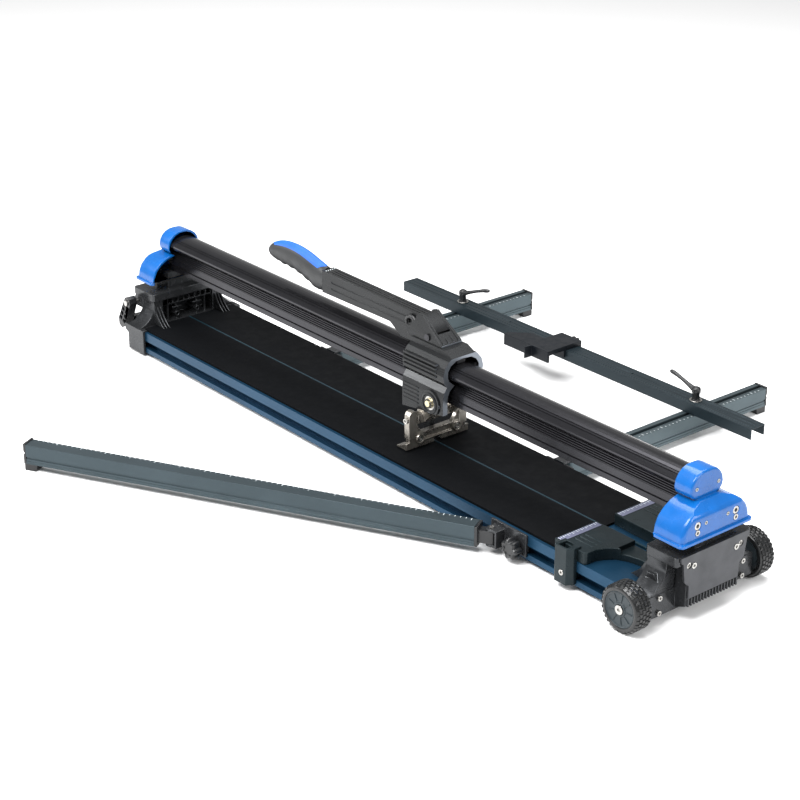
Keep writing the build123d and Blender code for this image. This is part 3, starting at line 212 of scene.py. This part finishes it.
# ---- bevelled versions of the CAD pieces -------------------------------------------------------
SHARP_ANGLE = 32.0              # degrees; sharper edges are rounded
FLAT_ANGLE = math.radians(0.6)  # faces closer than this to one plane are joined
CAD_WELD = 1e-6                 # metres
FACES_WHEELS = 0.99             # x part of a normal that looks to the wheels
BEVEL_SEGMENTS = 2
CARRIAGE_ANGLE = 14.0           # degrees; its shallow ribs need a finer limit
HOOD_EDGE = 0.5                 # widths of rounded edges, in millimetres
SCREW_EDGE, PROFILE_EDGE, PART_EDGE, CAP_EDGE, SUPPORT_EDGE, GAUGE_EDGE = 0.25, 0.4, 0.6, 0.7, 0.8, 0.9


def soften(piece, width, angle):
    """Smooth the curved surfaces and round the edges sharper than the angle."""
    mesh = piece.data
    if "custom_normal" in mesh.attributes:
        mesh.attributes.remove(mesh.attributes["custom_normal"])
    for polygon in mesh.polygons:
        polygon.use_smooth = True
    mesh.set_sharp_from_angle(angle=math.radians(angle))
    if width:
        bevel = piece.modifiers.new("edges", "BEVEL")
        bevel.width = width * MM
        bevel.segments = BEVEL_SEGMENTS
        bevel.limit_method = "ANGLE"
        bevel.angle_limit = math.radians(angle)
        bevel.use_clamp_overlap = False


def refine(node, width, shader=None, end_shader=None, angle=SHARP_ANGLE):
    """Stand a soft-edged copy of a CAD node in its place, with its sawn ends in another finish."""
    mesh = NODES[node].data.copy()
    piece = bpy.data.objects.new(node + "_finished", mesh)
    bpy.context.scene.collection.objects.link(piece)
    work = bmesh.new()
    work.from_mesh(mesh)
    bmesh.ops.remove_doubles(work, verts=work.verts, dist=CAD_WELD)
    if width:
        bmesh.ops.dissolve_limit(work, angle_limit=FLAT_ANGLE, verts=work.verts, edges=work.edges)
    work.to_mesh(mesh)
    work.free()
    paint(piece, shader or BY_SLOT[SLOT_OF[node]])
    if end_shader:
        mesh.materials.append(end_shader.material)
        for polygon in mesh.polygons:
            polygon.material_index = 1 if polygon.normal.x > FACES_WHEELS else 0
    soften(piece, width, angle)
    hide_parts(node)
    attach(piece, BODY_OF[node])


for name, obj in NODES.items():
    paint(obj, BY_SLOT[SLOT_OF[name]])
paint(NODES["breaking_ridge"], RIDGE)
refine("carriage_profile", 0.0, CHARCOAL, CUT_END, CARRIAGE_ANGLE)
refine("near_face_plate", 0.0)
paint(NODES["guide_pads"], SEAL)
paint(NODES["lever_axle"], BLACK_SCREW)
refine("handle_bracket", HOOD_EDGE, CHARCOAL, CUT_END)
for name in ("near_support", "far_support"):
    refine(name, SUPPORT_EDGE)
for name in ("near_rail_cap", "far_rail_cap"):
    refine(name, CAP_EDGE)
for name in ("front_gauge_plate", "rear_gauge_plate", "stop_block"):
    refine(name, GAUGE_EDGE, GAUGE_CAST)
for name in ("breaker_foot", "foot_yoke", "lateral_stop", "arm_bracket", "rear_arm_brackets",
             "pull_handle", "lever_arm", "front_arm_hinge", "front_arm_cap", "near_rear_arm_cap",
             "far_rear_arm_cap", "wheel_holder"):
    refine(name, PART_EDGE)
for name in ("fence_bar", "near_rear_arm", "far_rear_arm"):
    refine(name, PROFILE_EDGE)
refine("front_arm", PROFILE_EDGE, ARM_X)
for name in ("socket_screws", "axle_bolts", "foot_screws", "stop_block_screw", "pivot_bearings"):
    refine(name, SCREW_EDGE)
refine("pivot_bolts", SCREW_EDGE, BRASSY)
refine("rail_bolts", SCREW_EDGE, STEEL)


# ---- modelled details --------------------------------------------------------------------------
MESH_WELD = 1e-7                # metres
FULL_TURN = 2 * math.pi
LOBE_DEPTH, LOBE_FROM = 0.13, 0.6       # of a knob's radius


def circle(steps):
    """Angles of a full turn in equal steps."""
    return [FULL_TURN * step / steps for step in range(steps)]


class Shape:
    """A mesh under construction, in millimetres."""

    def __init__(self, place=Matrix()):
        self.points, self.faces, self.place = [], [], place

    def add(self, points, faces):
        first = len(self.points)
        self.points += [self.place @ Vector(point) for point in points]
        self.faces += [[first + index for index in face] for face in faces]

    def rings(self, rings, looped=False):
        """Skin a list of rings that have the same number of points."""
        count = len(rings[0])
        faces = []
        pairs = len(rings) if looped else len(rings) - 1
        for row in range(pairs):
            low, high = row * count, (row + 1) % len(rings) * count
            for index in range(count):
                after = (index + 1) % count
                faces.append((low + index, low + after, high + after, high + index))
        if not looped:
            faces.append(tuple(reversed(range(count))))
            faces.append(tuple(range((len(rings) - 1) * count, len(rings) * count)))
        self.add([point for ring in rings for point in ring], faces)

    def lathe(self, profile, steps=48, looped=False):
        """Turn a profile of (radius, height) about the local Z axis."""
        rings = []
        for radius, height in profile:
            rings.append([(radius * math.cos(a), radius * math.sin(a), height) for a in circle(steps)])
        self.rings(rings, looped=looped)

    def lobed(self, profile, radius, lobes, steps=84):
        """Turn a profile of (scale, height) whose rim swells into lobes."""
        rings = []
        for scale, height in profile:
            depth = LOBE_DEPTH if scale > LOBE_FROM else 0.0
            ring = []
            for angle in circle(steps):
                reach = radius * scale * (1 - depth + depth * math.cos(lobes * angle))
                ring.append((reach * math.cos(angle), reach * math.sin(angle), height))
            rings.append(ring)
        self.rings(rings)

    def tube(self, stations, steps):
        """Sweep an oval along X through stations of x, z, half width and half height."""
        rings = []
        for x, z, half_width, half_height in stations:
            rings.append([(x, half_width * math.cos(a), z + half_height * math.sin(a))
                          for a in circle(steps)])
        self.rings(rings)

    def bar(self, low, high, inset=0.0):
        """Raised block whose top is drawn in by the inset."""
        (x0, y0, z0), (x1, y1, z1) = low, high
        foot = [(x0, y0, z0), (x1, y0, z0), (x1, y1, z0), (x0, y1, z0)]
        top = [(x0 + inset, y0 + inset, z1), (x1 - inset, y0 + inset, z1), (x1 - inset, y1 - inset, z1),
               (x0 + inset, y1 - inset, z1)]
        self.rings([foot, top])

    def finish(self, name, shader, body, nodes=(), width=0.0, angle=35.0):
        mesh = bpy.data.meshes.new(name)
        mesh.from_pydata([point * MM for point in self.points], [], self.faces)
        work = bmesh.new()
        work.from_mesh(mesh)
        bmesh.ops.remove_doubles(work, verts=work.verts, dist=MESH_WELD)
        bmesh.ops.recalc_face_normals(work, faces=work.faces)
        work.to_mesh(mesh)
        work.free()
        piece = bpy.data.objects.new(name, mesh)
        bpy.context.scene.collection.objects.link(piece)
        paint(piece, shader)
        soften(piece, width, angle)
        if nodes:
            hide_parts(*nodes)
        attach(piece, body)


def box_mm(node):
    """Low and high corners of a node's box, in millimetres."""
    return [Vector(corner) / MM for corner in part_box(node)]


def centre(node):
    """Middle of a node's box, in millimetres."""
    low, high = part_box(node)
    return [(a + b) / 2 / MM for a, b in zip(low, high)]


def facing(place, axis):
    """Matrix that moves to a place and turns local Z to +Y or -Y."""
    return Matrix.Translation(Vector(place)) @ Matrix.Rotation(math.radians(-90 * axis), 4, "X")


# Wheels: the tyre is turned, then studded with rows of rounded lugs.
TYRE_RADIUS, TYRE_INNER_Y, LUG_COUNT, SPOKE_COUNT = 42.0, 125.5, 30, 9
LUG_ROWS = (4.2, 11.0, 17.8, 24.6)
CORNERS = ((-1, -1), (1, -1), (1, 1), (-1, 1))


def make_wheel(side_name, side):
    x, _, z = centre(side_name + "_tyre")
    place = facing((x, side * TYRE_INNER_Y, z), side)
    tyre = Shape(place)
    tyre.lathe([(31, 2.5), (37.5, 2), (39.4, 4), (40.3, 8), (40.3, 28), (39.6, 31.5), (38.0, 34), (36, 35),
                (33.2, 35.4), (31.6, 35), (31, 34)], 72, looped=True)
    for row, height in enumerate(LUG_ROWS):
        for index in range(LUG_COUNT):
            angle = FULL_TURN * (index + 0.5 * (row % 2)) / LUG_COUNT
            tyre.place = place @ Matrix.Rotation(angle, 4, "Z")
            rings = []
            for radius, grow in ((39.0, 0.4), (41.2, 0.0), (TYRE_RADIUS - 0.1, -0.8)):
                rings.append([(radius, a * (3.0 + grow), height + 3 + b * (2.7 + grow)) for a, b in CORNERS])
            tyre.rings(rings)
    for index in range(LUG_COUNT):
        tyre.place = place @ Matrix.Rotation(FULL_TURN * (index + 0.25) / LUG_COUNT, 4, "Z")
        tyre.rings([[(37.2, -2.6, 33.4), (37.2, 2.6, 33.4), (40.2, 2.8, 30.0), (40.2, -2.8, 30.0)],
                    [(38.6, -1.8, 35.2), (38.6, 1.8, 35.2), (41.4, 2.2, 31.2), (41.4, -2.2, 31.2)]])
    tyre.finish(side_name + "_tread", TYRE, side_name + "_wheel", (side_name + "_tyre",))
    hub = Shape(place)
    hub.lathe([(5.05, 0), (13, 0), (13, 4), (26, 6), (31, 2.6), (31, 34.4), (29.8, 35), (28.4, 33.6),
               (26.5, 33), (12.4, 33.2), (11.6, 34.4), (9.2, 34.6), (9, 32.6), (5.05, 32.6)], 64, looped=True)
    for angle in circle(SPOKE_COUNT):
        hub.place = place @ Matrix.Rotation(angle, 4, "Z")
        hub.bar((13.5, -0.75, 32.6), (26.2, 0.75, 34.2), 0.25)
    hub.finish(side_name + "_rim", HUB, side_name + "_wheel", (side_name + "_hub",))


make_wheel("left", -1)
make_wheel("right", 1)


# Star knobs: lobed rims with a dished top and the stud behind.
def make_knob(node, radius, thickness, lobes, place, stud):
    knob = Shape(place)
    knob.lobed([(0.78, 0), (0.95, 1.6), (1.0, 5), (1.0, thickness - 5), (0.95, thickness - 1.8),
                (0.82, thickness), (0.62, thickness), (0.52, thickness - 1.6), (0.1, thickness - 1.6)],
               radius, lobes)
    stud_radius, stud_length, collar = stud
    knob.lathe([(stud_radius, -stud_length), (stud_radius, -2), (collar, -2), (collar, 0.5)], 32)
    knob.finish(node + "_moulded", BLACK_PLASTIC, BODY_OF[node], (node,), 0.3)


def make_knobs():
    low, _ = box_mm("bracket_knob")
    seat = facing((448.0, low[1] + 19.0, 27.0), -1)
    make_knob("bracket_knob", 19.4, 18.6, 7, seat, stud=(4.0, 20.5, 9.0))
    _, high = box_mm("stop_knob")
    seat = facing((-63.0, high[1] - 14.0, 67.0), 1)
    make_knob("stop_knob", 14.6, 13.8, 6, seat, stud=(3.0, 7.2, 7.0))


make_knobs()


# Clamp levers: a turned hub and a rising arm with a rounded end.
NEAR_CLAMP_ANGLE, FAR_CLAMP_ANGLE = 180.0, 14.0         # degrees from +X


def make_clamp(name, angle):
    node = name + "_clamp_lever"
    low, _ = box_mm(node)
    nut = centre(name + "_fence_nut")
    place = Matrix.Translation((nut[0], nut[1], low[2])) @ Matrix.Rotation(math.radians(angle), 4, "Z")
    lever = Shape(place)
    lever.lathe([(4.05, 0), (8.8, 0), (8.8, 2.2), (7.2, 3.2), (7.0, 14.5), (8.6, 16.2), (8.8, 22.5),
                 (7.6, 25.4), (4.6, 27.2), (0.4, 27.6)], 40)
    lever.tube([(-7.5, 20.5, 1.5, 2), (-6, 20.5, 5.4, 4.0), (0, 20.6, 7.4, 5.4), (9, 21.6, 6.2, 5.2),
                (20, 25.6, 4.5, 4.1), (38, 32.0, 3.9, 3.6), (52, 36.2, 4.4, 4.0), (60, 37.6, 5.0, 4.2),
                (65, 38.3, 4.5, 3.7), (67.4, 38.6, 2.4, 2.0), (67.9, 38.6, 0.5, 0.5)], 24)
    lever.finish(node + "_moulded", BLACK_PLASTIC, name + "_clamp", (node,), 0.0, 50.0)
    washer = Shape(place)
    washer.lathe([(8.9, 0.1), (11.6, 0.1), (12, 0.5), (12, 1.1), (11.6, 1.5), (8.9, 1.5)], 40, looped=True)
    washer.finish(name + "_clamp_washer", STEEL, name + "_clamp")


make_clamp("near", NEAR_CLAMP_ANGLE)
make_clamp("far", FAR_CLAMP_ANGLE)


# Grip: oval sections along the lever, waves for the fingers and a ribbed soft insert on top.
GRIP_STATIONS = ((-219, 303.6, 257.8, 14.5), (-245, 310.2, 252.4, 14.8), (-275, 317.6, 260.8, 15.3),
                 (-305, 322.2, 268.8, 15.3), (-335, 322.2, 272.8, 15.3), (-362, 318.2, 273.8, 14.8),
                 (-386, 309.2, 277.8, 12.8), (-397, 301.0, 283.6, 8.8), (-400, 296.0, 288.0, 4.5))
GRIP_START = GRIP_STATIONS[0][0]
FINGER_PITCH = 24.0


def grip_section(x):
    """Top, bottom and half width of the grip at x, on a smooth line through the stations."""
    stations = GRIP_STATIONS
    for index in range(len(stations) - 1):
        if stations[index][0] >= x >= stations[index + 1][0]:
            break
    before, after = stations[max(index - 1, 0)], stations[min(index + 2, len(stations) - 1)]
    start, end = stations[index], stations[index + 1]
    t = (x - start[0]) / (end[0] - start[0])
    values = []
    for column in (1, 2, 3):
        slope_in = (end[column] - before[column]) / (end[0] - before[0]) * (end[0] - start[0])
        slope_out = (after[column] - start[column]) / (after[0] - start[0]) * (end[0] - start[0])
        values.append((2 * t**3 - 3 * t**2 + 1) * start[column] + (t**3 - 2 * t**2 + t) * slope_in
                      + (3 * t**2 - 2 * t**3) * end[column] + (t**3 - t**2) * slope_out)
    return values


def grip_ring(x, angles, grow, wave):
    """Ring round the grip at x, grown outwards, with finger waves of that height underneath."""
    top, bottom, half = grip_section(x)
    middle, height = (top + bottom) / 2, (top - bottom) / 2
    ring = []
    for angle in angles:
        lift = wave * max(0.0, -math.sin(angle)) * math.sin((x + 250) / FINGER_PITCH * FULL_TURN)
        reach = 1.0 + grow / half
        ring.append((x, half * reach * math.cos(angle), middle + (height + grow) * math.sin(angle) + lift))
    return ring


def make_grip():
    """Hand grip with its ribbed soft insert and a row of raised dots at the lever end."""
    grip = Shape()
    grip.rings([grip_ring(GRIP_START - 181 * step / 90, circle(40), 0.0, 1.1 if 15 < step < 75 else 0.0)
                for step in range(91)])
    grip.finish("grip_body", GRIP, "handle", ("hand_grip",), 0.0, 60.0)
    insert = Shape()
    spread = [math.radians(42 + 96 * step / 16) for step in range(17)]
    rings = []
    for step in range(221):
        x = -224 - 164 * step / 220
        taper = min(1.0, 0.25 + step / 24, 0.35 + (220 - step) / 30)
        angles = [math.pi / 2 + (angle - math.pi / 2) * taper for angle in spread]
        raised = 0.35 if step % 4 < 2 else 0.75
        over = grip_ring(x, angles, raised, 0.0)
        under = grip_ring(x, angles, -1.2, 0.0)
        rings.append(over + under[::-1])
    insert.rings(rings)
    insert.finish("grip_insert_ribbed", BLUE_RUBBER, "handle", ("grip_insert",), 0.0, 30.0)
    dots = Shape()
    for index in range(5):
        dots.place = Matrix.Translation((-211.0, -10 + 5 * index, 300.9))
        dots.lathe([(1.3, 0), (1.2, 0.3), (0.7, 0.55), (0.1, 0.6)], 16)
    dots.finish("grip_dots", PRINT, "handle", (), 0.0)


make_grip()


# Scales: printed ticks on the arms and ruler strips let into the gauge plates.
def make_ticks(name, body, start, step, count, reach, place):
    """Row of thin printed lines along local X, longer at every fifth."""
    ticks = Shape(place)
    for index in range(count):
        length = reach if index % 5 == 0 else reach * 0.55
        x = start + step * index
        ticks.bar((x - 0.45, 0, 0), (x + 0.45, length, 0.12))
    ticks.finish(name, PRINT, body)


ARM_PIVOTS = {"front_arm": (402.0, -137.0), "near_rear_arm": (298.0, 141.0), "far_rear_arm": (-368.0, 141.0)}
FRONT_ARM_TURN, REAR_ARM_TURN = 209.0, 90.0             # degrees from +X
SCALE_OFFSET = (0, -14.0, -0.78)                        # edge and top face of the arm
TICK_STEP, TICK_LENGTH = 10, 6.0


def arm_place(node, turn):
    """Start of an arm's scale: local X runs out along the arm."""
    x, y = ARM_PIVOTS[node]
    _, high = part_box(node)
    base = Matrix.Translation((x, y, high[2] / MM)) @ Matrix.Rotation(math.radians(turn), 4, "Z")
    return base @ Matrix.Translation(SCALE_OFFSET)


make_ticks("front_arm_scale", "front_support_arm", 40, TICK_STEP, 85, TICK_LENGTH,
           arm_place("front_arm", FRONT_ARM_TURN))
for side_name in ("near", "far"):
    make_ticks(side_name + "_arm_scale", side_name + "_support_arm", 30, TICK_STEP, 48,
               TICK_LENGTH, arm_place(side_name + "_rear_arm", REAR_ARM_TURN))


RULER_WIDTH, RULER_LENGTH = 14.2, 89.2


def make_ruler(name, side):
    """Strip and its lines on a gauge plate; side is -1 for the front and 1 for the rear."""
    low, high = box_mm(name + "_gauge_plate")
    x, top = low[0], high[2]
    strip = Shape(Matrix.Translation((x + 2.4, side * 113.6, top - 0.6)))
    if side > 0:
        strip.place = strip.place @ Matrix.Translation((0, -RULER_LENGTH, 0))
    strip.bar((0, 0, 0), (RULER_WIDTH, RULER_LENGTH, 0.5), 0.2)
    strip.finish(name + "_ruler_strip", RULER, "base")
    lines = Shape(strip.place)
    for index in range(18):
        y = 2.0 + 5.0 * index
        length = 6.0 if index % 2 == 0 else 3.5
        lines.bar((0.8, y - 0.35, 0.45), (0.8 + length, y + 0.35, 0.62))
    lines.finish(name + "_ruler_lines", PRINT, "base")


make_ruler("front", -1)
make_ruler("rear", 1)


PIVOT_X, PIVOT_Z = 136.0, 160.0


def make_bearing_details():
    """Dark seal round each side pivot's bolt, and a raised ring in the carriage round its bearing."""
    for side, side_name in ((-1, "front"), (1, "rear")):
        place = facing((PIVOT_X, side * 52.1, PIVOT_Z), side)
        seal = Shape(place)
        seal.lathe([(6.3, 0), (9.0, 0), (9.0, 0.35), (8.6, 0.55), (6.7, 0.55), (6.3, 0.35)], 40, looped=True)
        seal.finish(side_name + "_pivot_seal", SEAL, "carriage")
    for side, side_name in ((-1, "front"), (1, "rear")):
        place = facing((PIVOT_X, side * 49.3, PIVOT_Z), side)
        race = Shape(place)
        race.lathe([(16.4, 0.5), (19.6, 0.5), (20.4, 1.0), (20.4, 1.5), (19.4, 2.1), (17.0, 2.1),
                    (16.2, 1.5)], 56, looped=True)
        race.finish(side_name + "_pivot_ring", CHARCOAL, "carriage")


make_bearing_details()


def make_foot_rings():
    """Raised rims round the two screws in the front of the breaker foot."""
    for side, side_name in ((-1, "front"), (1, "rear")):
        place = Matrix.Translation((105.6, side * 44.0, 78.0)) @ Matrix.Rotation(math.radians(90), 4, "Y")
        ring = Shape(place)
        ring.lathe([(6.2, 0), (9.4, 0), (9.2, 1.0), (8.5, 1.8), (7.2, 1.8), (6.4, 1.1)], 48, looped=True)
        ring.finish(side_name + "_foot_ring", RAW_CAST, "foot")


make_foot_rings()


HOOK_PATH = ((62, 270), (60, 281), (54, 288), (46, 290.5), (38, 287.5), (34, 280.5), (36, 273.5))    # x, z
HOOK_RADII = (4.6, 4.6, 4.4, 4.0, 3.6, 3.2, 2.4)


def make_hooks():
    """Pair of curved latch hooks that stand beside the lever, behind the hood."""
    hooks = Shape()
    for side in (-1, 1):
        rings = []
        for index, (x, z) in enumerate(HOOK_PATH):
            before = HOOK_PATH[max(index - 1, 0)]
            after = HOOK_PATH[min(index + 1, len(HOOK_PATH) - 1)]
            along = Vector((after[0] - before[0], 0, after[1] - before[1])).normalized()
            across = Vector((along[2], 0, -along[0]))
            reach = HOOK_RADII[index]
            ring = []
            for angle in circle(14):
                point = Vector((x, side * 18.3, z)) + across * (reach * math.cos(angle))
                ring.append(tuple(point + Vector((0, 3.0 * math.sin(angle), 0))))
            rings.append(ring)
        hooks.rings(rings)
    hooks.finish("curved_hooks", BLACK_PLASTIC, "carriage", ("latch_hooks",), 0.0, 60.0)


make_hooks()


# ---- floor, lights and camera ------------------------------------------------------------------
FLOOR_HALF = 14.0
CAMERA_ANGLES = (50.308, 23.978, 0.161)        # azimuth, elevation and roll in degrees
CAMERA_PLACE = (2.5603, -2.1292, 1.5864)
LENS_MM, SENSOR_MM = 88.76, 36.0
WORLD_STRENGTH = 0.50


def make_floor():
    mesh = bpy.data.meshes.new("floor")
    corners = [(a * FLOOR_HALF, b * FLOOR_HALF, 0) for a, b in CORNERS]
    mesh.from_pydata(corners, [], [(0, 1, 2, 3)])
    floor = bpy.data.objects.new("floor", mesh)
    bpy.context.scene.collection.objects.link(floor)
    paint(floor, Shader("floor", (0.86, 0.86, 0.86), 0.6))


def add_area(name, place, target, size, power):
    light = bpy.data.lights.new(name, "AREA")
    light.shape = "RECTANGLE"
    light.size, light.size_y = size
    light.energy = power
    obj = bpy.data.objects.new(name, light)
    bpy.context.scene.collection.objects.link(obj)
    obj.location = place
    obj.rotation_euler = (Vector(target) - Vector(place)).to_track_quat("-Z", "Y").to_euler()


def make_lights():
    add_area("key", (0.4, -1.8, 2.9), (0, 0, 0), (2.4, 1.6), 210)
    add_area("top", (-0.3, 0.8, 3.4), (0, 0, 0), (3.0, 2.2), 150)
    add_area("end", (3.4, 0.5, 1.8), (0.3, 0, 0.1), (1.8, 1.5), 70)
    add_area("rim", (-2.8, -2.3, 1.7), (0, 0, 0.2), (0.9, 0.7), 70)
    world = bpy.data.worlds.new("studio")
    bpy.context.scene.world = world
    world.use_nodes = True
    background = world.node_tree.nodes["Background"]
    background.inputs["Color"].default_value = (1, 1, 1, 1)
    background.inputs["Strength"].default_value = WORLD_STRENGTH


def make_camera():
    azimuth, elevation, roll = (math.radians(v) for v in CAMERA_ANGLES)
    back = Vector((math.sin(azimuth) * math.cos(elevation), -math.cos(azimuth) * math.cos(elevation),
                   math.sin(elevation)))
    right = Vector((0, 0, 1)).cross(back).normalized()
    up = back.cross(right)
    turn = Matrix((right, up, back)).transposed() @ Matrix.Rotation(roll, 3, "Z")
    data = bpy.data.cameras.new("camera")
    data.lens = LENS_MM
    data.sensor_width = SENSOR_MM
    data.clip_end = 60.0
    camera = bpy.data.objects.new("camera", data)
    camera.matrix_world = Matrix.Translation(Vector(CAMERA_PLACE)) @ turn.to_4x4()
    bpy.context.scene.collection.objects.link(camera)
    bpy.context.scene.camera = camera
    bpy.context.scene.view_settings.view_transform = "Standard"


make_floor()
make_lights()
make_camera()
